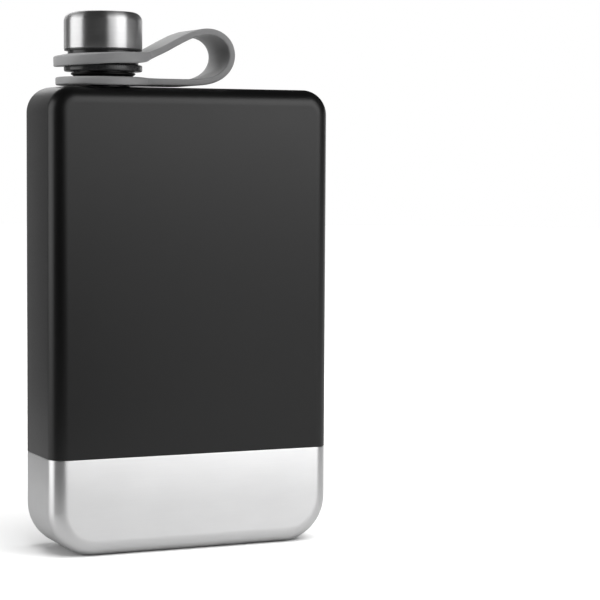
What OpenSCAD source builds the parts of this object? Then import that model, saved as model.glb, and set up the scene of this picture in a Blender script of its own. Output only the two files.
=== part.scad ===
// Slim hip flask with an off-centre screw cap held by a silicone carry strap.
// Origin at the centre of the base. X runs across the width, Y through the depth, Z up.

/* [Body] */
// Width of the body
body_w = 90; // [80:1:110]
// Depth of the body, front to back
body_d = 29; // [26:1:36]
// Height of the body, without its neck
body_h = 140; // [110:1:170]
// Radius of the two upper corners, seen from the front
top_corner_r = 7.7; // [6:0.1:12]
// Radius of the two lower corners, seen from the front
bottom_corner_r = 14; // [8:0.5:20]
// Rounding along the front and back edges
edge_r = 4.9; // [3:0.1:5.5]
// Thickness of the steel sheet
wall = 0.7; // [0.5:0.1:0.9]

/* [Base] */
// Height of the bare steel base shell
base_h = 29.5; // [25:0.5:45]
// How far the upper shell's lip reaches down into the base shell
lip_len = 3; // [2:0.5:5]
// Gap between that lip and the base shell, all round
lip_gap = 0.05; // [0.02:0.01:0.1]

/* [Neck] */
// Distance of the neck's axis from the middle of the body
neck_x = -24.2; // [-27:0.1:-18]
// Radius of the mouth
mouth_r = 7; // [6:0.1:7.2]
// Radius of the neck under its thread
neck_r = 8.2; // [8.1:0.1:8.4]
// Height of the neck above the body
neck_h = 16.8; // [16.6:0.1:17.2]
// Largest radius of the bead that keeps the strap on the neck
bead_r = 9.7; // [9.2:0.1:10]
// Radius of the weld flange inside the body
weld_flange_r = 10.5; // [9.5:0.1:12]

/* [Thread] */
// Rise of the thread in one turn
thread_pitch = 3; // [2.8:0.1:3.2]
// Height of the ridge
thread_depth = 1; // [0.7:0.1:1]
// Number of turns of ridge, the same on the neck and in the cap
thread_turns = 2.25; // [1.75:0.25:2.25]
// Gap between the cap's thread and the neck's, at crest and root
thread_gap = 0.35; // [0.3:0.01:0.4]

/* [Cap] */
// Radius of the cap
cap_r = 11.75; // [11.7:0.05:12.5]
// Overall height of the closed flask
overall_h = 162.4; // [162:0.1:164]
// Height of the steel cover on the cap
cover_h = 11; // [10.8:0.1:11.2]
// Rounding of the cover's upper edge
cover_round = 2.8; // [2:0.1:3.2]
// Thickness of the cover
cover_wall = 0.6; // [0.4:0.1:0.7]
// Gap above the body to the underside of the cap's flange
cap_gap = 4.65; // [4.6:0.05:4.8]
// Thickness of the cap's bottom flange
flange_t = 1.95; // [1.6:0.05:2]
// Radius of the groove that the strap's upper ring sits in
groove_r = 10.6; // [10.5:0.1:10.7]
// Thickness of the black rim that shows under the cover
rim_t = 0.5; // [0.3:0.05:0.6]
// Thickness of the sealing disc
gasket_t = 1.6; // [1.2:0.1:1.8]

/* [Strap] */
// Width of the strap's band
band_w = 17.5; // [14:0.5:18]
// Thickness of the band
band_t = 2; // [1.6:0.1:2.2]
// Outer radius of the ring on the neck
neck_ring_r = 14.3; // [13:0.1:14.5]
// Thickness of the ring on the neck
neck_ring_t = 2.4; // [2:0.1:2.4]
// Outer radius of the ring on the cap
cap_ring_r = 14.9; // [14:0.1:15.5]
// Thickness of the ring on the cap
cap_ring_t = 3.2; // [2.6:0.1:3.2]
// Slope of the ring on the cap, which the loop pulls up on its own side
cap_ring_tilt = 1.2; // [0:0.1:1.2]
// Length of the curved part of the loop
loop_len = 47.8; // [47:0.1:48.5]
// Angle that the band turns through in the loop
loop_turn = 207.7; // [204:0.1:210]

/* [Hidden] */
$fn = 96;

// Small gaps and overlaps
weld_gap = 0.05;
eps = 0.01;

// Neck levels, measured from the base
neck_top = body_h + neck_h;
weld_flange_t = 1.8;
neck_foot = body_h - wall - weld_flange_t;
bead_z = body_h + 2.9;
bead_rise = 1.4;
mouth_chamfer = 0.4;

// Thread: width of the ridge at its root and crest, and its height on the neck and in the cap
ridge_root = 1.3;
ridge_crest = 0.7;
ridge_bury = 0.3;
ridge_fade = 0.2;
ridge_steps = 30;
neck_thread_z = body_h + 8.5;
cap_thread_z = neck_thread_z - thread_pitch / 2;
cap_bore_r = neck_r + thread_depth + thread_gap;

// Cap levels
flange_z = body_h + cap_gap;
groove_z = flange_z + flange_t;
cover_z = overall_h - cover_h;
gasket_top = neck_top + gasket_t;
core_edge = 0.4;
rim_edge = 0.1;
rim_r = cap_r - 0.1;
rim_z = cover_z - weld_gap - rim_t;

// Strap: the ring on the neck lies on the shoulder, the ring on the cap lies in the cap's groove
strap_z = body_h + 1.7;
neck_ring_hole = neck_r + 0.7;
cap_ring_hole = groove_r + 0.4;
cap_ring_bend = cap_ring_hole + 0.2;
strap_round = 0.5;
tab_x = -8.5;
tab_lap = 4.5;
loop_x = -3.65;
loop_steps = 48;

// ---- Body ----

// Rectangle with rounded corners, centred
module rounded_rect(w, h, r) {
    square([w - 2 * r, h], center = true);
    square([w, h - 2 * r], center = true);
    for (x = [-1, 1], y = [-1, 1])
        translate([x * (w / 2 - r), y * (h / 2 - r)]) circle(r);
}

// Right half of a disc's section: radius rad, thickness thick, rounded rim
module disc_section(rad, thick, r) {
    intersection() {
        rounded_rect(2 * rad, thick, r);
        translate([0, -thick]) square([rad, 2 * thick]);
    }
}

// Bar along X with round ends of radius rad, every long edge rounded by r
module round_bar(length, rad, thick, r) {
    span = length - 2 * rad;
    rotate([90, 0, 90]) linear_extrude(span, center = true) rounded_rect(thick, 2 * rad, r);
    for (side = [-1, 1])
        translate([side * span / 2, 0, 0]) rotate([90, 0, 0])
            rotate_extrude() disc_section(rad, thick, r);
}

// Outside of the body, taken in by inset on every side
module body_form(inset) {
    w = body_w - 2 * inset;
    d = body_d - 2 * inset;
    r = edge_r - inset;
    upright = body_h - top_corner_r - bottom_corner_r;
    translate([0, 0, bottom_corner_r]) round_bar(w, bottom_corner_r - inset, d, r);
    translate([0, 0, body_h - top_corner_r]) round_bar(w, top_corner_r - inset, d, r);
    translate([0, 0, bottom_corner_r]) linear_extrude(upright) rounded_rect(w, d, r);
}

// Hollow body of one sheet thickness
module body_skin() {
    difference() {
        body_form(0);
        body_form(wall);
    }
}

// Upright band of the body's section from z0 to z1, between two insets
module section_band(z0, z1, outer, inner) {
    translate([0, 0, z0]) linear_extrude(z1 - z0) difference() {
        rounded_rect(body_w - 2 * outer, body_d - 2 * outer, edge_r - outer);
        rounded_rect(body_w - 2 * inner, body_d - 2 * inner, edge_r - inner);
    }
}

// Block that holds everything from z0 to z1
module slice(z0, z1) {
    translate([-body_w, -body_d, z0]) cube([2 * body_w, 2 * body_d, z1 - z0]);
}

// Drawn upper shell: shoulder, walls, and a stepped lip that nests in the base shell
module upper_shell() {
    color("#2a2b2d") {
        difference() {
            intersection() {
                body_skin();
                slice(base_h, body_h + wall);
            }
            translate([neck_x, 0, body_h - 2 * wall]) cylinder(h = 4 * wall, r = neck_r + weld_gap);
        }
        section_band(base_h, base_h + wall, wall / 2, 2 * wall);
        section_band(base_h - lip_len, base_h + eps, wall + lip_gap, 2 * wall);
    }
}

// Drawn base shell of bare steel
module base_shell() {
    color("#c8c9cb") intersection() {
        body_skin();
        slice(-wall, base_h);
    }
}

// ---- Neck and thread ----

// Share of the full ridge height at turn t, fading at both ends
function fade(t) = min(1, t / ridge_fade, (thread_turns - t) / ridge_fade);

// One cross-section of a ridge on a wall of radius wall_r; side is 1 outwards, -1 inwards
function ridge_section(t, wall_r, z, side) =
    let (
        height = fade(t) * (thread_depth + ridge_bury / 2) - ridge_bury / 2,
        foot = wall_r - side * ridge_bury,
        crest = wall_r + side * height,
        corners = [
            [foot, -ridge_root / 2], [crest, -ridge_crest / 2],
            [crest, ridge_crest / 2], [foot, ridge_root / 2]
        ]
    )
    [for (c = corners)
        [c[0] * cos(360 * t), c[0] * sin(360 * t), z + thread_pitch * t + c[1]]];

// Helical ridge, right-handed, starting at height z
module ridge(wall_r, z, side) {
    count = round(thread_turns * ridge_steps);
    sections = [for (i = [0:count]) ridge_section(i / ridge_steps, wall_r, z, side)];
    skin = [for (i = [0:count - 1], k = [0:3])
        let (a = 4 * i + k, b = 4 * i + (k + 1) % 4)
        each [[a, a + 4, b], [b, a + 4, b + 4]]];
    last = 4 * count;
    ends = [[0, 1, 2], [0, 2, 3], [last + 2, last + 1, last], [last + 3, last + 2, last]];
    faces = [for (f = concat(skin, ends)) side < 0 ? f : [f[2], f[1], f[0]]];
    polyhedron([for (s = sections) each s], faces);
}

// Turned neck: weld flange inside the body, bead above the strap, thread up to the mouth
module neck_spout() {
    color("#b9babc") translate([neck_x, 0, 0]) {
        rotate_extrude() polygon([
            [mouth_r, neck_foot], [weld_flange_r, neck_foot], [weld_flange_r, body_h - wall],
            [neck_r, body_h - wall], [neck_r, bead_z], [bead_r, bead_z + bead_rise * 0.7],
            [bead_r, bead_z + bead_rise], [neck_r, bead_z + bead_rise],
            [neck_r, neck_top - mouth_chamfer], [neck_r - mouth_chamfer, neck_top],
            [mouth_r, neck_top]
        ]);
        ridge(neck_r, neck_thread_z, 1);
    }
}

// ---- Cap ----

// Right half of a dome-edged disc from z0 to z1
module cup_section(rad, z0, z1, r) {
    square_h = z1 - z0;
    translate([0, z0]) {
        square([rad - r, square_h]);
        square([rad, square_h - r]);
        translate([rad - r, square_h - r]) intersection() {
            circle(r);
            square(r);
        }
    }
}

// Drawn steel cover of the cap
module cap_cover() {
    color("#c8c9cb") translate([neck_x, 0, 0]) rotate_extrude() difference() {
        cup_section(cap_r, cover_z, overall_h, cover_round);
        cup_section(cap_r - cover_wall, cover_z - eps, overall_h - cover_wall, cover_round - cover_wall);
    }
}

// Moulded cap core: threaded bore, rim under the cover, groove for the strap's ring, flange below it
module cap_core() {
    insert_r = cap_r - cover_wall - weld_gap;
    color("#1d1d1f") translate([neck_x, 0, 0]) {
        difference() {
            rotate_extrude() {
                cup_section(insert_r, cover_z, overall_h - cover_wall - weld_gap, cover_round);
                translate([0, rim_z + rim_t / 2]) disc_section(rim_r, rim_t, rim_edge);
                translate([0, groove_z]) square([groove_r, cover_z - groove_z]);
                translate([0, flange_z + flange_t / 2]) disc_section(cap_r, flange_t, core_edge);
            }
            translate([0, 0, flange_z - eps]) cylinder(h = gasket_top - flange_z + eps, r = cap_bore_r);
        }
        ridge(cap_bore_r, cap_thread_z, -1);
    }
}

// Silicone sealing disc between the mouth's rim and the top of the cap's bore
module cap_gasket() {
    color("#d9d9d6") translate([neck_x, 0, neck_top]) cylinder(h = gasket_t, r = cap_bore_r - thread_gap);
}

// ---- Strap ----

// Flat ring with rounded edges, centred on its own middle plane
module strap_ring(outer, hole, thick) {
    rotate_extrude() translate([(outer + hole) / 2, 0]) rounded_rect(outer - hole, thick, strap_round);
}

// Heading of the band at share u of the loop: its curvature swells and dies away as sin squared
function heading(u) = loop_turn * (u - sin(360 * u) / 360 * 180 / PI);

// Middle line of the loop in the XZ plane, from the end of the lower run
function step_to(p, a, d) = p + d * [cos(a), sin(a)];
function loop_line(i = 0, p = [loop_x, strap_z]) =
    i == loop_steps ? [p] : concat([p],
        loop_line(i + 1, step_to(p, heading((i + 0.5) / loop_steps), loop_len / loop_steps)));

// The upper run leaves the loop straight and slopes down to the ring on the cap
loop_points = loop_line();
loop_end = loop_points[loop_steps];
function on_run(x) = step_to(loop_end, loop_turn, (loop_end[0] - x) / cos(loop_turn - 180));
tab_point = on_run(tab_x);
bend_point = on_run(neck_x + cap_ring_bend);

// Ring that lies round the neck, with the stub of the lower run
module strap_neck_ring() {
    color("#7c7d7f") {
        translate([neck_x, 0, strap_z]) strap_ring(neck_ring_r, neck_ring_hole, neck_ring_t);
        translate([neck_x + neck_ring_r - tab_lap, -band_w / 2, strap_z - band_t / 2])
            cube([tab_x - neck_x - neck_ring_r + tab_lap, band_w, band_t]);
    }
}

// Carry loop: one band from the neck ring's stub round to the cap ring's stub
module strap_loop() {
    middle = concat([[tab_x, strap_z]], loop_points, [tab_point]);
    headings = concat([0], [for (i = [0:loop_steps]) heading(i / loop_steps)], [loop_turn]);
    side_line = function (side)
        [for (i = [0:len(middle) - 1]) step_to(middle[i], headings[i] + 90, side * band_t / 2)];
    inner = side_line(1);
    color("#7c7d7f") rotate([90, 0, 0]) linear_extrude(band_w, center = true)
        polygon(concat(side_line(-1), [for (i = [len(inner) - 1:-1:0]) inner[i]]));
}

// One side of the cap ring, cut at the line where the ring bends up into the upper run, with that line at x = 0
module cap_ring_part(side) {
    reach = 2 * cap_ring_r;
    intersection() {
        translate([-cap_ring_bend, 0, 0]) strap_ring(cap_ring_r, cap_ring_hole, cap_ring_t);
        translate([side < 0 ? -reach : 0, -reach, -reach]) cube([reach, 2 * reach, 2 * reach]);
    }
}

// Ring that sits in the cap's groove; its loop side bends up and carries the stub of the upper run
module strap_cap_ring() {
    half_chord = sqrt(pow(cap_ring_r, 2) - pow(cap_ring_bend, 2));
    stub = norm(tab_point - bend_point);
    color("#7c7d7f") difference() {
        translate([bend_point[0], 0, bend_point[1]]) {
            rotate([0, -cap_ring_tilt, 0]) cap_ring_part(-1);
            rotate([90, 0, 0]) cylinder(h = 2 * (half_chord - strap_round), r = cap_ring_t / 2, center = true);
            rotate([0, 180 - loop_turn, 0]) {
                cap_ring_part(1);
                translate([0, -band_w / 2, -band_t / 2]) cube([stub, band_w, band_t]);
            }
        }
        translate([neck_x, 0, bend_point[1] - cap_ring_r]) cylinder(h = 2 * cap_ring_r, r = cap_ring_hole);
    }
}

upper_shell();
base_shell();
neck_spout();
cap_cover();
cap_core();
cap_gasket();
strap_neck_ring();
strap_loop();
strap_cap_ring();
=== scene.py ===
import math

import bmesh
import bpy
import numpy as np
from mathutils import Euler, Matrix, Vector


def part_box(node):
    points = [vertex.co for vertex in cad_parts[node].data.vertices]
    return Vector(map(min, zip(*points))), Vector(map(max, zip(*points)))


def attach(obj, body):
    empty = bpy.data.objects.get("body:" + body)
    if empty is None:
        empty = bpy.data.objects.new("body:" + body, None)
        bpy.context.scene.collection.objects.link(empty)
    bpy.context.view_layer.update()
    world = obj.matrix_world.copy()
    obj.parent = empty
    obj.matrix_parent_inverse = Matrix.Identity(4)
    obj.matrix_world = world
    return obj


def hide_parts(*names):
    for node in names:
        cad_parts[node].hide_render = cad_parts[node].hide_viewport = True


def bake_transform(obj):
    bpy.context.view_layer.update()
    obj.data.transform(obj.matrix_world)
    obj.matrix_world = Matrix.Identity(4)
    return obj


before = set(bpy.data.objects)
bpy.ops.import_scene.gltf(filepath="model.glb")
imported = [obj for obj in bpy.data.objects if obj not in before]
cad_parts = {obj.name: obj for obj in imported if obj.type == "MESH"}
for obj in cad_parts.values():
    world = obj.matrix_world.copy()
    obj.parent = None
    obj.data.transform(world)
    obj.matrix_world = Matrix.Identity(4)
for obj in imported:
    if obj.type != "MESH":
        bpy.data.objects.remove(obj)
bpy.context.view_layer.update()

MM = 0.001

# ---- Sizes from the frame, in metres ----
SHELL_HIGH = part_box("upper_shell")[1]
BASE_LOW, BASE_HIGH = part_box("base_shell")
SPOUT_LOW, SPOUT_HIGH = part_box("neck_spout")
COVER_LOW, COVER_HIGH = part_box("cap_cover")
CORE_LOW, CORE_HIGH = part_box("cap_core")
GASKET_LOW, GASKET_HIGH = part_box("cap_gasket")
NECK_RING_LOW, NECK_RING_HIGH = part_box("strap_neck_ring")

BODY_W = BASE_HIGH.x - BASE_LOW.x
BODY_D = BASE_HIGH.y - BASE_LOW.y
BODY_H = SHELL_HIGH.z
SEAM_Z = BASE_HIGH.z
AXIS_X = (COVER_LOW.x + COVER_HIGH.x) / 2
CAP_R = (COVER_HIGH.x - COVER_LOW.x) / 2

# ---- Sizes that repeat the design's own, in metres ----
EDGE_R = 4.9 * MM
TOP_CORNER_R = 7.7 * MM
BOTTOM_CORNER_R = 14 * MM
WALL = 0.7 * MM
FIT_GAP = 0.05 * MM
MOUTH_R = 7 * MM
NECK_R = 8.2 * MM
THREAD_PITCH = 3 * MM
THREAD_DEPTH = 1 * MM
THREAD_TURNS = 2.25
THREAD_GAP = 0.35 * MM
RIDGE_ROOT = 1.3 * MM
RIDGE_CREST = 0.7 * MM
BEAD_R = 9.7 * MM
BEAD_Z = BODY_H + 2.9 * MM
BEAD_TOP = BEAD_Z + 1.4 * MM
NECK_THREAD_Z = BODY_H + 8.5 * MM
CAP_THREAD_Z = NECK_THREAD_Z - THREAD_PITCH / 2
COVER_ROUND = 2.8 * MM
COVER_WALL = 0.6 * MM
FLANGE_T = 1.95 * MM
GROOVE_R = 10.6 * MM
RIM_T = 0.5 * MM
RIM_R = CAP_R - 0.1 * MM
BAND_W = 17.5 * MM
BAND_T = 2 * MM
NECK_RING_T = NECK_RING_HIGH.z - NECK_RING_LOW.z
NECK_RING_R = (NECK_RING_HIGH.y - NECK_RING_LOW.y) / 2
NECK_RING_HOLE = 8.9 * MM
STRAP_Z = (NECK_RING_HIGH.z + NECK_RING_LOW.z) / 2
CAP_RING_T = 3.2 * MM
CAP_RING_R = 14.9 * MM
CAP_RING_HOLE = 11 * MM
CAP_RING_TILT = math.radians(1.2)
LOOP_X = -3.65 * MM
LOOP_LEN = 47.8 * MM

# ---- The strap's visible shape, a little softer than the design's plain one, in metres and radians ----
LOOP_TURN = math.radians(208.4)
RUN_EASE = math.radians(8.6)
CAP_RING_BEND = 9.8 * MM
BEND_LEN = 3.4 * MM
STRAP_ROUND = 0.5 * MM
FILLET_R = 2 * MM
RING_SAG = 0.75 * MM
TAPER_START = 6 * MM
TAPER_LEN = 9 * MM
ROUND_INSETS = [inset * MM for inset in (0.0, 0.04, 0.13, 0.27, 0.5)]
# Share of the loop's length at which the strap's two meshes meet
STRAP_SPLIT = 0.72


# ---- Mesh helpers ----

def add_mesh(name, verts, faces, materials, face_material=None, sharp=35):
    """A smooth-shaded object from vertices and faces, with edges over `sharp` degrees kept crisp."""
    mesh = bpy.data.meshes.new(name)
    mesh.from_pydata([tuple(v) for v in verts], [], faces)
    for material in materials:
        mesh.materials.append(material)
    if face_material is not None:
        mesh.polygons.foreach_set("material_index", face_material)
    obj = bpy.data.objects.new(name, mesh)
    bpy.context.scene.collection.objects.link(obj)
    finish_mesh(mesh, sharp)
    return obj


def finish_mesh(mesh, sharp=35):
    """Merged, outward-facing and smooth, with crisp edges over `sharp` degrees."""
    work = bmesh.new()
    work.from_mesh(mesh)
    bmesh.ops.remove_doubles(work, verts=work.verts, dist=1e-7)
    bmesh.ops.recalc_face_normals(work, faces=work.faces)
    work.to_mesh(mesh)
    work.free()
    mesh.shade_smooth()
    mesh.set_sharp_from_angle(angle=math.radians(sharp))
    mesh.update()


def cut(obj, tool):
    """obj less tool, with the tool removed afterwards."""
    modifier = obj.modifiers.new("cut", "BOOLEAN")
    modifier.operation = "DIFFERENCE"
    modifier.solver = "EXACT"
    modifier.object = tool
    bpy.context.view_layer.update()
    done = bpy.data.meshes.new_from_object(obj.evaluated_get(bpy.context.evaluated_depsgraph_get()))
    obj.modifiers.clear()
    obj.data = done
    bpy.data.objects.remove(tool)
    finish_mesh(done)
    return obj


def lathe(name, profile, materials, segments=160, centre=(AXIS_X, 0), pick=None, bend=None):
    """Solid of revolution from a closed (radius, z) profile; bend(r, z, angle) may move each point."""
    count = len(profile)
    verts = []
    for i in range(segments):
        angle = 2 * math.pi * i / segments
        for r, z in profile:
            if bend:
                r, z = bend(r, z, angle)
            verts.append((centre[0] + r * math.cos(angle), centre[1] + r * math.sin(angle), z))
    faces = []
    picked = []
    for i in range(segments):
        for k in range(count):
            a, b = i * count + k, i * count + (k + 1) % count
            c, d = ((i + 1) % segments) * count + (k + 1) % count, ((i + 1) % segments) * count + k
            faces.append((a, b, c, d))
            picked.append(pick(profile[k], profile[(k + 1) % count]) if pick else 0)
    return add_mesh(name, verts, faces, materials, picked)


def arc(cx, cz, r, start, end, steps=8):
    """Points on an arc in the (radius, z) plane, angles in degrees."""
    angles = [math.radians(start + (end - start) * i / steps) for i in range(steps + 1)]
    return [(cx + r * math.cos(a), cz + r * math.sin(a)) for a in angles]


def line(start, end, step):
    """Points from start to end no further apart than step, without the last."""
    span = math.dist(start, end)
    count = max(1, math.ceil(span / step))
    return [(start[0] + (end[0] - start[0]) * i / count, start[1] + (end[1] - start[1]) * i / count)
            for i in range(count)]


# ---- Materials ----

class Nodes:
    """Short names for building one material's node tree."""

    def __init__(self, name):
        self.material = bpy.data.materials.new(name)
        self.material.use_nodes = True
        self.tree = self.material.node_tree
        self.shader = self.tree.nodes["Principled BSDF"]

    def add(self, kind, **values):
        node = self.tree.nodes.new("ShaderNode" + kind)
        for key, value in values.items():
            if key in node.inputs:
                node.inputs[key].default_value = value
            else:
                setattr(node, key, value)
        return node

    def link(self, source, target):
        self.tree.links.new(source, target)

    def set(self, **values):
        for key, value in values.items():
            self.shader.inputs[key.replace("_", " ")].default_value = value

    def mapped(self, scale, coordinate="Object"):
        """Texture coordinates stretched by scale, in units per metre."""
        coords = self.add("TexCoord")
        mapping = self.add("Mapping")
        mapping.inputs["Scale"].default_value = scale
        self.link(coords.outputs[coordinate], mapping.inputs["Vector"])
        return mapping.outputs["Vector"]

    def noise(self, vector, detail=4.0, rough=0.6, scale=1.0):
        node = self.add("TexNoise", Scale=scale, Detail=detail, Roughness=rough)
        self.link(vector, node.inputs["Vector"])
        return node.outputs["Fac"]

    def remap(self, value, low, high, from_low=0.3, from_high=0.7):
        node = self.add("MapRange")
        span = {"From Min": from_low, "From Max": from_high, "To Min": low, "To Max": high}
        for key, number in span.items():
            node.inputs[key].default_value = number
        self.link(value, node.inputs["Value"])
        return node.outputs["Result"]

    def mix(self, factor, a, b):
        """Mix of two numbers or sockets by factor."""
        node = self.add("Mix", data_type="FLOAT")
        for socket, value in zip(("Factor", "A", "B"), (factor, a, b)):
            if isinstance(value, (int, float)):
                node.inputs[socket].default_value = value
            else:
                self.link(value, node.inputs[socket])
        return node.outputs["Result"]

    def shade(self, factor, dark, light):
        """Colour between dark and light by factor."""
        node = self.add("Mix", data_type="RGBA")
        self.link(factor, node.inputs["Factor"])
        node.inputs[6].default_value = (*dark, 1)
        node.inputs[7].default_value = (*light, 1)
        return node.outputs[2]

    def bump(self, height, distance, strength=1.0):
        node = self.add("Bump", Strength=strength, Distance=distance)
        self.link(height, node.inputs["Height"])
        self.link(node.outputs["Normal"], self.shader.inputs["Normal"])
        return node


def facing(nodes, axis, low=0.5, high=0.9):
    """1 where the surface faces along the axis, 0 where it faces another way."""
    geometry = nodes.add("NewGeometry")
    split = nodes.add("SeparateXYZ")
    nodes.link(geometry.outputs["Normal"], split.inputs["Vector"])
    size = nodes.add("Math", operation="ABSOLUTE")
    nodes.link(split.outputs[axis], size.inputs[0])
    return nodes.remap(size.outputs[0], 0, 1, low, high)


def coated_steel():
    """Black powder coat: satin, with a fine orange peel and slightly uneven gloss."""
    n = Nodes("coated_steel")
    n.set(Metallic=0.0, IOR=1.5, Specular_IOR_Level=0.5)
    broad = n.noise(n.mapped((25, 25, 25)), detail=2)
    peel = n.noise(n.mapped((1400, 1400, 1400)), detail=2, rough=0.5)
    speck = n.noise(n.mapped((4200, 4200, 4200)), detail=1, rough=0.5)
    n.link(n.shade(broad, (0.0020, 0.0020, 0.0021), (0.0034, 0.0034, 0.0035)), n.shader.inputs["Base Color"])
    n.link(n.mix(0.35, n.remap(broad, 0.33, 0.38), n.remap(peel, 0.31, 0.42)), n.shader.inputs["Roughness"])
    n.bump(n.mix(0.4, peel, speck), 0.00002, 0.35)
    return n.material


def brushed_steel():
    """Bare steel: lines along the width on the faces, upright lines on the narrow sides."""
    n = Nodes("brushed_steel")
    n.set(Metallic=1.0, Anisotropic=0.6, Anisotropic_Rotation=0.25)
    across = n.noise(n.mapped((60, 60, 5200)), detail=6, rough=0.75)
    upright = n.noise(n.mapped((60, 4200, 60)), detail=6, rough=0.75)
    lines = n.mix(facing(n, "X"), across, upright)
    cloud = n.noise(n.mapped((45, 45, 90)), detail=3)
    tone = n.shade(n.mix(0.5, lines, cloud), (0.73, 0.73, 0.735), (0.87, 0.87, 0.87))
    n.link(tone, n.shader.inputs["Base Color"])
    n.link(n.mix(0.3, n.remap(lines, 0.30, 0.42), n.remap(cloud, 0.32, 0.40)), n.shader.inputs["Roughness"])
    tangent = n.add("Tangent", direction_type="RADIAL", axis="Z")
    n.link(tangent.outputs["Tangent"], n.shader.inputs["Tangent"])
    n.bump(lines, 0.00001, 0.4)
    return n.material


def turned_steel(name, dark, light, rough):
    """Steel with lines round its own axis."""
    n = Nodes(name)
    n.set(Metallic=1.0, Anisotropic=0.95, Anisotropic_Rotation=0.25)
    lines = n.noise(n.mapped((70, 70, 3600)), detail=6, rough=0.8)
    coarse = n.noise(n.mapped((40, 40, 900)), detail=3, rough=0.6)
    n.link(n.shade(n.mix(0.35, lines, coarse), dark, light), n.shader.inputs["Base Color"])
    n.link(n.remap(lines, *rough), n.shader.inputs["Roughness"])
    tangent = n.add("Tangent", direction_type="RADIAL", axis="Z")
    n.link(tangent.outputs["Tangent"], n.shader.inputs["Tangent"])
    n.bump(lines, 0.000012, 0.45)
    return n.material


def moulded_plastic():
    """Black moulded plastic, half gloss, with faint flow marks."""
    n = Nodes("moulded_plastic")
    n.set(Metallic=0.0, IOR=1.5)
    fine = n.noise(n.mapped((2600, 2600, 2600)), detail=2)
    flow = n.noise(n.mapped((90, 90, 300)), detail=3)
    n.link(n.shade(flow, (0.026, 0.026, 0.027), (0.038, 0.038, 0.039)), n.shader.inputs["Base Color"])
    n.link(n.mix(0.5, n.remap(fine, 0.2, 0.34), n.remap(flow, 0.22, 0.32)), n.shader.inputs["Roughness"])
    n.bump(fine, 0.00002, 0.25)
    return n.material


def silicone(name, dark, light, rough):
    """Matte silicone with a dusty, slightly uneven skin."""
    n = Nodes(name)
    n.set(Metallic=0.0, IOR=1.42, Subsurface_Weight=0.0, Sheen_Weight=0.15, Sheen_Roughness=0.4)
    cloud = n.noise(n.mapped((140, 140, 140)), detail=4)
    fine = n.noise(n.mapped((2200, 2200, 2200)), detail=2)
    dust = n.noise(n.mapped((5200, 5200, 5200)), detail=1)
    n.link(n.shade(n.mix(0.35, cloud, fine), dark, light), n.shader.inputs["Base Color"])
    n.link(n.mix(0.5, n.remap(cloud, *rough), n.remap(fine, *rough)), n.shader.inputs["Roughness"])
    n.bump(n.mix(0.5, fine, dust), 0.00003, 0.3)
    return n.material


# ---- Body ----

FILLET_STEPS = 14
CORNER_STEPS = 28
FACE_LIP = 0.2 * MM
ROLL_STEPS = 5


def rim_path(inset, upper, end_z):
    """Points (x, z) round one shell's outline, taken in by inset, from its left end to its right end."""
    half = BODY_W / 2
    radius = TOP_CORNER_R if upper else BOTTOM_CORNER_R
    centre_z = BODY_H - radius if upper else radius
    turn = -1 if upper else 1
    left = [math.pi + turn * math.pi / 2 * i / CORNER_STEPS for i in range(CORNER_STEPS + 1)]
    corner = [(-(half - radius) + (radius - inset) * math.cos(a), centre_z + (radius - inset) * math.sin(a))
              for a in left]
    right = [(-x, z) for x, z in reversed(corner)]
    return [(-(half - inset), end_z)] + corner + right + [(half - inset, end_z)]


def sections(edge_r, depth, extra):
    """(inset, y, normal) of each line from the front face round to the back face."""
    front = [(edge_r + extra, -depth / 2, 90.0)]
    for a in np.linspace(90, 0, FILLET_STEPS + 1):
        inset = edge_r * (1 - math.cos(math.radians(a)))
        front.append((inset, -depth / 2 + edge_r * (1 - math.sin(math.radians(a))), a))
    back = [(inset, -y, a) for inset, y, a in reversed(front)]
    return [(i, y, -a) for i, y, a in front] + back


def shell(name, upper, roll, material):
    """A drawn shell of one sheet thickness, closed, with a rolled edge of radius roll at the seam."""
    turn = 1 if upper else -1
    verts, faces = [], []

    def skin(extra_inset, end_z, flip):
        """One side of the sheet; returns its edge loop at the seam as (vertex, outward normal)."""
        first = len(verts)
        lines = sections(EDGE_R - extra_inset, BODY_D - 2 * extra_inset, FACE_LIP)
        for inset, y, _ in lines:
            verts.extend((x, y, z) for x, z in rim_path(inset + extra_inset, upper, end_z))
        width = len(rim_path(0, upper, end_z))
        at = lambda j, i: first + j * width + i
        quads = [(at(j, i), at(j, i + 1), at(j + 1, i + 1), at(j + 1, i))
                 for j in range(len(lines) - 1) for i in range(width - 1)]
        quads.append(tuple(at(0, i) for i in reversed(range(width))))
        quads.append(tuple(at(len(lines) - 1, i) for i in range(width)))
        faces.extend(tuple(reversed(q)) if flip else q for q in quads)
        loop = []
        for end, side, order in ((0, -1, range(len(lines))), (width - 1, 1, reversed(range(len(lines))))):
            for j in order:
                a = math.radians(lines[j][2])
                loop.append((at(j, end), (side * math.cos(a), math.sin(a), 0)))
        return loop

    outer = skin(0, SEAM_Z + turn * roll, False)
    inner = skin(WALL, SEAM_Z + turn * roll, True)
    rows = [[v for v, _ in outer]]
    for angle in np.linspace(0, math.pi / 2, ROLL_STEPS + 1)[1:]:
        row = []
        for v, normal in outer:
            shift = roll * (1 - math.cos(angle))
            x, y, z = verts[v]
            row.append(len(verts))
            verts.append((x - normal[0] * shift, y - normal[1] * shift, z - turn * roll * math.sin(angle)))
        rows.append(row)
    flat = []
    for v, _ in inner:
        flat.append(len(verts))
        verts.append((verts[v][0], verts[v][1], SEAM_Z))
    rows += [flat, [v for v, _ in inner]]
    count = len(outer)
    for above, below in zip(rows, rows[1:]):
        for k in range(count):
            after = (k + 1) % count
            faces.append((above[k], above[after], below[after], below[k]))
    return add_mesh(name, verts, faces, [material])


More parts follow.
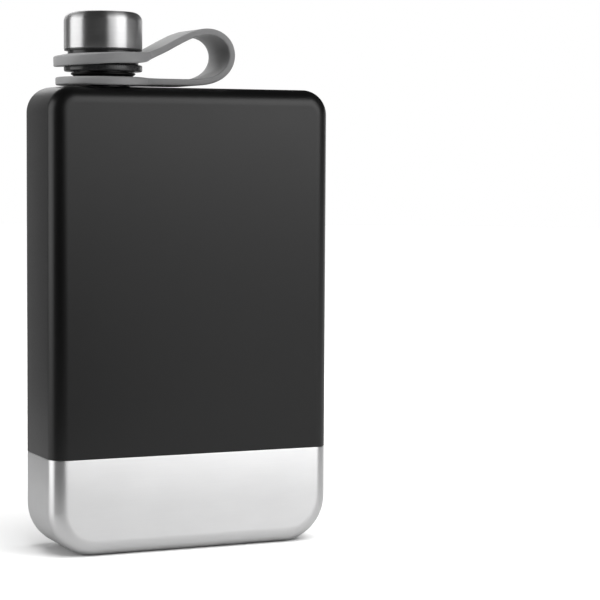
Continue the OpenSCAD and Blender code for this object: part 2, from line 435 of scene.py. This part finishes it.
def make_body():
    black = coated_steel()
    upper = shell("upper_shell_coated", True, 0.12 * MM, black)
    hole_r = NECK_R + FIT_GAP
    low, high = BODY_H - 3 * WALL, BODY_H + WALL
    middle = 0.0001 * MM
    drill = lathe("neck_hole_tool", [(middle, low), (hole_r, low), (hole_r, high), (middle, high)], [])
    cut(upper, drill)
    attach(upper, "flask")
    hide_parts("upper_shell")
    base = shell("base_shell_brushed", False, 0.3 * MM, brushed_steel())
    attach(base, "flask")
    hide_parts("base_shell")
    return black


# ---- Neck and cap ----

def ridge_height(z, angle, start_z):
    """Height of the thread's ridge at (angle, z), 0 to 1, fading out at both ends."""
    best = 0.0
    for turn in range(4):
        t = angle / (2 * math.pi) + turn
        if t > THREAD_TURNS:
            continue
        fade = min(1, t / 0.2, (THREAD_TURNS - t) / 0.2)
        away = abs(z - start_z - THREAD_PITCH * t)
        slope = (RIDGE_ROOT / 2 - away) / ((RIDGE_ROOT - RIDGE_CREST) / 2)
        best = max(best, min(1, max(0, slope)) * fade)
    return best


def make_neck(black):
    steel = turned_steel("turned_steel", (0.50, 0.50, 0.51), (0.66, 0.66, 0.66), (0.2, 0.34))
    foot, top = SPOUT_LOW.z, SPOUT_HIGH.z
    flange_r = (SPOUT_HIGH.x - SPOUT_LOW.x) / 2
    under_shell = BODY_H - WALL
    bead = BEAD_Z + 0.98 * MM
    profile = line((MOUTH_R, top - 0.3 * MM), (MOUTH_R, foot), 2 * MM)
    profile += [(MOUTH_R, foot), (flange_r, foot), (flange_r, under_shell), (NECK_R, under_shell)]
    profile += [(NECK_R, BEAD_Z)]
    profile += line((NECK_R + 0.05 * MM, BEAD_Z), (BEAD_R - 0.3 * MM, bead - 0.25 * MM), 1 * MM)
    profile += arc(BEAD_R - 0.3 * MM, BEAD_TOP - 0.3 * MM, 0.3 * MM, -40, 90, 6)
    profile += [(NECK_R + 0.1 * MM, BEAD_TOP), (NECK_R, BEAD_TOP + 0.1 * MM)]
    profile += line((NECK_R, BEAD_TOP + 0.2 * MM), (NECK_R, top - 0.4 * MM), 0.1 * MM)
    profile += arc(NECK_R - 0.4 * MM, top - 0.4 * MM, 0.4 * MM, 0, 90, 5)
    profile += arc(MOUTH_R + 0.3 * MM, top - 0.3 * MM, 0.3 * MM, 90, 180, 5)

    def thread(r, z, angle):
        on_wall = abs(r - NECK_R) < 1e-6 and z > BEAD_TOP + 0.3 * MM
        return (r + THREAD_DEPTH * ridge_height(z, angle, NECK_THREAD_Z), z) if on_wall else (r, z)

    # Faces that get the black coat: the neck's collar from the shell top up to the bead, and also 0.8 mm
    # above the bead, where the black is painted shade in the gap under the cap's flange.
    def pick(a, b):
        outside = min(a[0], b[0]) > MOUTH_R + 0.1 * MM
        return 1 if outside and BODY_H - 0.1 * MM < (a[1] + b[1]) / 2 < BEAD_TOP + 0.8 * MM else 0

    neck = lathe("neck_spout_turned", profile, [steel, black], bend=thread, pick=pick)
    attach(neck, "flask")
    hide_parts("neck_spout")


def make_cap():
    steel = turned_steel("cap_steel", (0.60, 0.60, 0.605), (0.80, 0.80, 0.80), (0.34, 0.42))
    low, top = COVER_LOW.z, COVER_HIGH.z
    edge = 0.15 * MM
    inner_r, inner_round = CAP_R - COVER_WALL, COVER_ROUND - COVER_WALL
    profile = arc(CAP_R - edge, low + edge, edge, -90, 0, 4)
    profile += arc(CAP_R - COVER_ROUND, top - COVER_ROUND, COVER_ROUND, 0, 90, 16)
    profile += [(0.6 * CAP_R, top), (0.3 * CAP_R, top), (0.02 * MM, top), (0.02 * MM, top - COVER_WALL)]
    profile += arc(inner_r - inner_round, top - COVER_WALL - inner_round, inner_round, 90, 0, 10)
    profile += arc(inner_r + edge, low + edge, edge, 180, 270, 4)
    cover = lathe("cap_cover_brushed", profile, [steel])
    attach(cover, "cap")
    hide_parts("cap_cover")

    plastic = moulded_plastic()
    bore_r = NECK_R + THREAD_DEPTH + THREAD_GAP
    insert_r = CAP_R - COVER_WALL - FIT_GAP
    low, ceiling = CORE_LOW.z, GASKET_HIGH.z
    groove_z, rim_z, core_top = low + FLANGE_T, COVER_LOW.z - FIT_GAP - RIM_T, CORE_HIGH.z
    round_r = 0.45 * MM
    profile = line((bore_r, ceiling), (bore_r, low + 0.3 * MM), 0.1 * MM)
    profile += arc(bore_r + 0.3 * MM, low + 0.3 * MM, 0.3 * MM, 180, 270, 4)
    profile += arc(CAP_R - round_r, low + round_r, round_r, -90, 0, 6)
    profile += arc(CAP_R - round_r, groove_z - round_r, round_r, 0, 90, 6)
    profile += arc(GROOVE_R + 0.2 * MM, groove_z + 0.2 * MM, 0.2 * MM, 270, 180, 3)
    profile += [(GROOVE_R, rim_z)] + arc(RIM_R - edge, rim_z + edge, edge, -90, 0, 3)
    profile += [(RIM_R, rim_z + RIM_T), (insert_r, rim_z + RIM_T)]
    profile += arc(insert_r - COVER_ROUND, core_top - COVER_ROUND, COVER_ROUND, 0, 90, 8)
    profile += [(0.02 * MM, core_top), (0.02 * MM, ceiling)]

    def thread(r, z, angle):
        on_wall = abs(r - bore_r) < 1e-6
        return (r - THREAD_DEPTH * ridge_height(z, angle, CAP_THREAD_Z), z) if on_wall else (r, z)

    core = lathe("cap_core_moulded", profile, [plastic], bend=thread)
    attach(core, "cap")
    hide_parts("cap_core")

    seal_r = (GASKET_HIGH.x - GASKET_LOW.x) / 2
    low, top, lip = GASKET_LOW.z, GASKET_HIGH.z, 0.25 * MM
    profile = [(0.02 * MM, low + 0.15 * MM), (0.55 * seal_r, low + 0.15 * MM), (0.62 * seal_r, low)]
    profile += arc(seal_r - lip, low + lip, lip, -90, 0, 5) + arc(seal_r - lip, top - lip, lip, 0, 90, 5)
    profile += [(0.02 * MM, top)]
    pale = silicone("gasket_silicone", (0.62, 0.61, 0.58), (0.72, 0.71, 0.68), (0.4, 0.55))
    seal = lathe("cap_gasket_disc", profile, [pale])
    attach(seal, "seal")
    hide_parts("cap_gasket")


# ---- Strap ----

def heading(u):
    """Heading of the band at share u of the loop: the curvature swells and dies away as sin squared."""
    return LOOP_TURN * (u - math.sin(2 * math.pi * u) / (2 * math.pi))


def strap_path():
    """Middle line of the strap, neck ring to cap ring: lengths along it, and (x, z, heading) rows."""
    step = 0.05 * MM
    points = [(AXIS_X, STRAP_Z, 0.0)]

    def walk(length, angle_at):
        count = max(1, round(length / step))
        for i in range(count):
            x, z, _ = points[-1]
            a = angle_at((i + 0.5) / count)
            d = length / count
            points.append((x + d * math.cos(a), z + d * math.sin(a), angle_at((i + 1) / count)))

    walk(LOOP_X - AXIS_X, lambda u: 0.0)
    walk(LOOP_LEN, heading)
    # The upper run flattens a little on its way down to the cap, where it bends into the cap ring's plane
    ring_heading = math.pi + CAP_RING_TILT
    run_end = LOOP_TURN - RUN_EASE
    run = (points[-1][0] - AXIS_X - CAP_RING_BEND) / abs(math.cos(LOOP_TURN - RUN_EASE / 2)) - BEND_LEN / 2
    walk(run, lambda u: LOOP_TURN - RUN_EASE * u)
    walk(BEND_LEN, lambda u: run_end + (ring_heading - run_end) * u * u * (3 - 2 * u))
    walk((points[-1][0] - AXIS_X) / abs(math.cos(ring_heading)), lambda u: ring_heading)
    table = np.array(points)
    lengths = np.concatenate([[0], np.cumsum(np.hypot(*np.diff(table[:, :2], axis=0).T))])
    return lengths, table


PATH_LENGTHS, PATH = strap_path()
STRAP_LEN = PATH_LENGTHS[-1]


def place(s, y, height):
    """Point of the bent strap at length s, width y, and height above its middle line."""
    x, z, a = (np.interp(s, PATH_LENGTHS, PATH[:, k]) for k in range(3))
    if s < 0:
        x, z, a = PATH[0][0] + s, PATH[0][1], PATH[0][2]
    if s > STRAP_LEN:
        a = PATH[-1][2]
        x, z = PATH[-1][0] + (s - STRAP_LEN) * math.cos(a), PATH[-1][1] + (s - STRAP_LEN) * math.sin(a)
    return Vector((x - height * math.sin(a), y, z + height * math.cos(a)))


def strap_part(name, ring_r, hole_r, ring_t, cut_s, from_end, material):
    """One end of the strap: its ring and the band up to length cut_s, made flat and then bent to the path."""
    half = BAND_W / 2
    neck_u = math.sqrt((ring_r + FILLET_R) ** 2 - (half + FILLET_R) ** 2)
    tangent = math.atan2(half + FILLET_R, neck_u)
    band_len = (STRAP_LEN - cut_s) if from_end else cut_s

    def edge_distance(u, v):
        """Distance in from the outline of the flat strap."""
        radius = math.hypot(u, v)
        if u >= neck_u:
            outer = half - abs(v)
        elif math.atan2(abs(v), u) >= tangent:
            outer = ring_r - radius
        else:
            outer = math.hypot(u - neck_u, abs(v) - half - FILLET_R) - FILLET_R
        return min(max(outer, 0), radius - hole_r)

    def half_height(u, v):
        """Half the thickness at a point of the flat strap, rounded off at the edges."""
        thin = min(1, max(0, (u - TAPER_START) / TAPER_LEN))
        thick = ring_t + (BAND_T - ring_t) * thin * thin * (3 - 2 * thin)
        inward = STRAP_ROUND - min(STRAP_ROUND, max(0, edge_distance(u, v)))
        return thick / 2 - STRAP_ROUND + math.sqrt(max(0, STRAP_ROUND ** 2 - inward ** 2))

    # Lines across the band, crowded near its edges, and the ring's outline starting at the band's lower edge
    near = [half - inset for inset in ROUND_INSETS]
    across = [-v for v in near] + list(np.linspace(-half + 1.2 * MM, half - 1.2 * MM, 9)) + near[::-1]
    outline = [(neck_u, v) for v in across]
    fillet = np.linspace(-math.pi / 2, tangent - math.pi, 10)[1:]
    outline += [(neck_u + FILLET_R * math.cos(b), half + FILLET_R + FILLET_R * math.sin(b)) for b in fillet]
    turns = np.linspace(tangent, 2 * math.pi - tangent, 97)[1:-1]
    outline += [(ring_r * math.cos(a), ring_r * math.sin(a)) for a in turns]
    outline += [(u, -v) for u, v in reversed(outline[len(across):len(across) + len(fillet)])]

    flat = []

    def add(u, v):
        flat.append((u, v))
        return len(flat) - 1

    rows = []
    for u, v in outline:
        angle, reach = math.atan2(v, u), math.hypot(u, v)
        radii = [reach - inset for inset in ROUND_INSETS]
        radii += list(np.linspace(reach - 1 * MM, hole_r + 1 * MM, 5))
        radii += [hole_r + inset for inset in reversed(ROUND_INSETS)]
        rows.append([add(r * math.cos(angle), r * math.sin(angle)) for r in radii])
    grid = [(rows[k][m], rows[(k + 1) % len(rows)][m], rows[(k + 1) % len(rows)][m + 1], rows[k][m + 1])
            for k in range(len(rows)) for m in range(len(rows[0]) - 1)]
    stations = max(4, round((band_len - neck_u) / (0.4 * MM)))
    bands = [[rows[k][0] for k in range(len(across))]]
    for i in range(1, stations + 1):
        u = neck_u + (band_len - neck_u) * i / stations
        bands.append([add(u, v) for v in across])
    grid += [(bands[i][k], bands[i + 1][k], bands[i + 1][k + 1], bands[i][k + 1])
             for i in range(stations) for k in range(len(across) - 1)]

    def sag(u, v):
        """How far the cap ring droops outside its groove, most on the side away from the loop."""
        out = min(1, max(0, (math.hypot(u, v) - hole_r) / (ring_r - hole_r)))
        away = min(1, max(0, -u / ring_r))
        return RING_SAG * out * away if from_end else 0

    to_s = (lambda u: STRAP_LEN - u) if from_end else (lambda u: u)
    heights = [half_height(u, v) for u, v in flat]
    verts = [place(to_s(u), v, side * h) - Vector((0, 0, sag(u, v)))
             for side in (1, -1) for (u, v), h in zip(flat, heights)]
    under = len(flat)
    faces = grid + [tuple(i + under for i in reversed(q)) for q in grid]
    # Side walls: round the hole, round the ring's free outline, and along both edges and the end of the band
    count, last = len(rows), len(across) - 1
    walls = [(rows[k][-1], rows[(k + 1) % count][-1]) for k in range(count)]
    walls += [(rows[k][0], rows[(k + 1) % count][0]) for k in range(last, count)]
    walls += [(bands[i][k], bands[i + 1][k]) for i in range(stations) for k in (0, last)]
    faces += [(a, b, b + under, a + under) for a, b in walls]
    faces.append(tuple(bands[-1]) + tuple(i + under for i in reversed(bands[-1])))
    return add_mesh(name, verts, faces, [material], sharp=60)


def make_strap():
    grey = silicone("strap_silicone", (0.200, 0.200, 0.203), (0.245, 0.245, 0.247), (0.48, 0.6))
    loop_start = LOOP_X - AXIS_X
    cut_s = loop_start + STRAP_SPLIT * LOOP_LEN
    lower = strap_part("strap_lower_half", NECK_RING_R, NECK_RING_HOLE, NECK_RING_T, cut_s, False, grey)
    upper = strap_part("strap_upper_half", CAP_RING_R, CAP_RING_HOLE, CAP_RING_T, cut_s, True, grey)
    joint = place(cut_s, 0, 0)
    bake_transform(lower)
    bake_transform(upper)
    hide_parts("strap_neck_ring", "strap_loop")
    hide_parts("strap_cap_ring")
    return [lower, upper]


# ---- Studio ----

# The lights suit the camera's own angle; from other angles the light is less even
STUDIO_AIM = Vector((-0.02, 0, 0.1))
TABLE_R = 3.0
TABLE_NOTCH_R = 0.13
# Strengths of the suns that light only the table and only the strap
TABLE_LIGHT = 4.4
STRAP_LIGHT = 3.0
# How pale the table looks in the flask's reflections
TABLE_MIRRORED = 0.38


def toward(azimuth, elevation):
    """Unit vector from the flask. Azimuth 0 is straight in front, positive towards +X; in degrees."""
    a, e = math.radians(azimuth), math.radians(elevation)
    return Vector((math.sin(a) * math.cos(e), -math.cos(a) * math.cos(e), math.sin(e)))


def sun_on(name, objects, azimuth, elevation, energy):
    """Wide soft sun that lights only the given objects."""
    lit = bpy.data.collections.new(name + "_only")
    for obj in objects:
        lit.objects.link(obj)
    light = bpy.data.lights.new(name, "SUN")
    light.energy, light.angle = energy, math.radians(70)
    lamp = bpy.data.objects.new(name, light)
    lamp.rotation_euler = toward(azimuth, elevation).to_track_quat("Z", "Y").to_euler()
    lamp.light_linking.receiver_collection = lit
    bpy.context.scene.collection.objects.link(lamp)


def make_table():
    """White table, cut short on the camera's side, so that the flask's near edge reflects a dark room."""
    outline = []
    for azimuth in np.arange(-180, 180, 2.0):
        reach = TABLE_NOTCH_R if -85 < azimuth < 9 else TABLE_R
        outline.append(toward(azimuth, 0) * reach)
    n = Nodes("studio_table")
    n.set(Roughness=0.8, Specular_IOR_Level=0.1)
    cloud = n.noise(n.mapped((6, 6, 6)), detail=2)
    seen = n.remap(cloud, 0.80, 0.82)
    mirrored = n.mix(n.add("LightPath").outputs["Is Glossy Ray"], seen, TABLE_MIRRORED)
    n.link(mirrored, n.shader.inputs["Base Color"])
    table = add_mesh("studio_table", outline, [tuple(range(len(outline)))], [n.material])
    sun_on("table_light", [table], 30, 70, TABLE_LIGHT)


def soft_box(name, azimuths, elevations, distance, radiance):
    """Soft box that fills a range of azimuths and elevations (degrees) as seen from the flask."""
    spans = [(high - low) / 2 for low, high in (azimuths, elevations)]
    light = bpy.data.lights.new(name, "AREA")
    light.shape = "RECTANGLE"
    light.size, light.size_y = (2 * distance * math.tan(math.radians(span)) for span in spans)
    light.energy = radiance * math.pi * light.size * light.size_y
    lamp = bpy.data.objects.new(name, light)
    away = toward(sum(azimuths) / 2, sum(elevations) / 2)
    lamp.location = STUDIO_AIM + away * distance
    lamp.rotation_euler = away.to_track_quat("Z", "Y").to_euler()
    bpy.context.scene.collection.objects.link(lamp)


def make_card(name, azimuths, heights, distance, radiance):
    """Upright grey card close round part of the flask, glowing faintly, hidden from the camera."""
    steps = 12
    angles = [azimuths[0] + (azimuths[1] - azimuths[0]) * i / steps for i in range(steps + 1)]
    feet = [toward(a, 0) * distance + Vector((-BODY_W / 2, 0, heights[0])) for a in angles]
    verts = feet + [foot + Vector((0, 0, heights[1] - heights[0])) for foot in feet]
    faces = [(i, i + 1, i + 2 + steps, i + 1 + steps) for i in range(steps)]
    n = Nodes(name)
    n.set(Roughness=0.9, Emission_Color=(1, 1, 1, 1))
    cloud = n.noise(n.mapped((3, 3, 1)), detail=1)
    n.link(n.shade(cloud, (0.05, 0.05, 0.05), (0.06, 0.06, 0.06)), n.shader.inputs["Base Color"])
    n.link(n.remap(cloud, 0.95 * radiance, 1.05 * radiance), n.shader.inputs["Emission Strength"])
    card = add_mesh(name, verts, faces, [n.material])
    card.visible_camera = False


def make_studio(strap):
    make_table()
    sun_on("strap_light", strap, -110, 60, STRAP_LIGHT)
    make_card("left_low_card", azimuths=(-165, -134), heights=(0.0005, 0.014), distance=0.19, radiance=0.38)
    make_card("left_card", azimuths=(-165, -134), heights=(0.014, 0.26), distance=0.19, radiance=0.11)
    make_card("rear_card", azimuths=(-184, -165), heights=(0.0005, 0.26), distance=0.19, radiance=0.50)
    soft_box("key_box", azimuths=(-2, 53), elevations=(0, 42), distance=0.8, radiance=1.65)
    soft_box("key_core_box", azimuths=(22, 52), elevations=(0, 42), distance=0.7, radiance=1.05)
    soft_box("left_box", azimuths=(-131, -84), elevations=(-6, 34), distance=0.9, radiance=1.85)
    soft_box("rear_box", azimuths=(163, 189), elevations=(14, 36), distance=0.9, radiance=2.2)
    soft_box("rear_right_box", azimuths=(108, 146), elevations=(-6, 10), distance=0.9, radiance=0.9)
    world = bpy.data.worlds.new("studio")
    world.use_nodes = True
    tree = world.node_tree
    background = tree.nodes["Background"]
    path = tree.nodes.new("ShaderNodeLightPath")
    mix = tree.nodes.new("ShaderNodeMix")
    mix.data_type = "RGBA"
    mix.inputs[6].default_value = (0.05, 0.05, 0.05, 1)
    mix.inputs[7].default_value = (1, 1, 1, 1)
    tree.links.new(path.outputs["Is Camera Ray"], mix.inputs["Factor"])
    tree.links.new(mix.outputs[2], background.inputs["Color"])
    bpy.context.scene.world = world
    bpy.context.scene.view_settings.view_transform = "Standard"


# Camera: place in metres, angles in degrees, lens in millimetres on a 36 mm sensor
CAMERA_AT = Vector((-0.2355, -0.6097, 0.1197))
CAMERA_YAW = 24.42
CAMERA_DOWN = 3.876
CAMERA_ROLL = 0.335
CAMERA_LENS = 127.44


def make_camera():
    data = bpy.data.cameras.new("camera")
    data.lens, data.sensor_width = CAMERA_LENS, 36
    data.clip_start, data.clip_end = 0.01, 20
    camera = bpy.data.objects.new("camera", data)
    bpy.context.scene.collection.objects.link(camera)
    aim = Euler((math.radians(90 - CAMERA_DOWN), 0, math.radians(-CAMERA_YAW))).to_matrix().to_4x4()
    roll = Matrix.Rotation(math.radians(CAMERA_ROLL), 4, "Z")
    camera.matrix_world = Matrix.Translation(CAMERA_AT) @ aim @ roll
    bpy.context.scene.camera = camera


make_camera()
black_coat = make_body()
make_neck(black_coat)
make_cap()
strap_halves = make_strap()
make_studio(strap_halves)
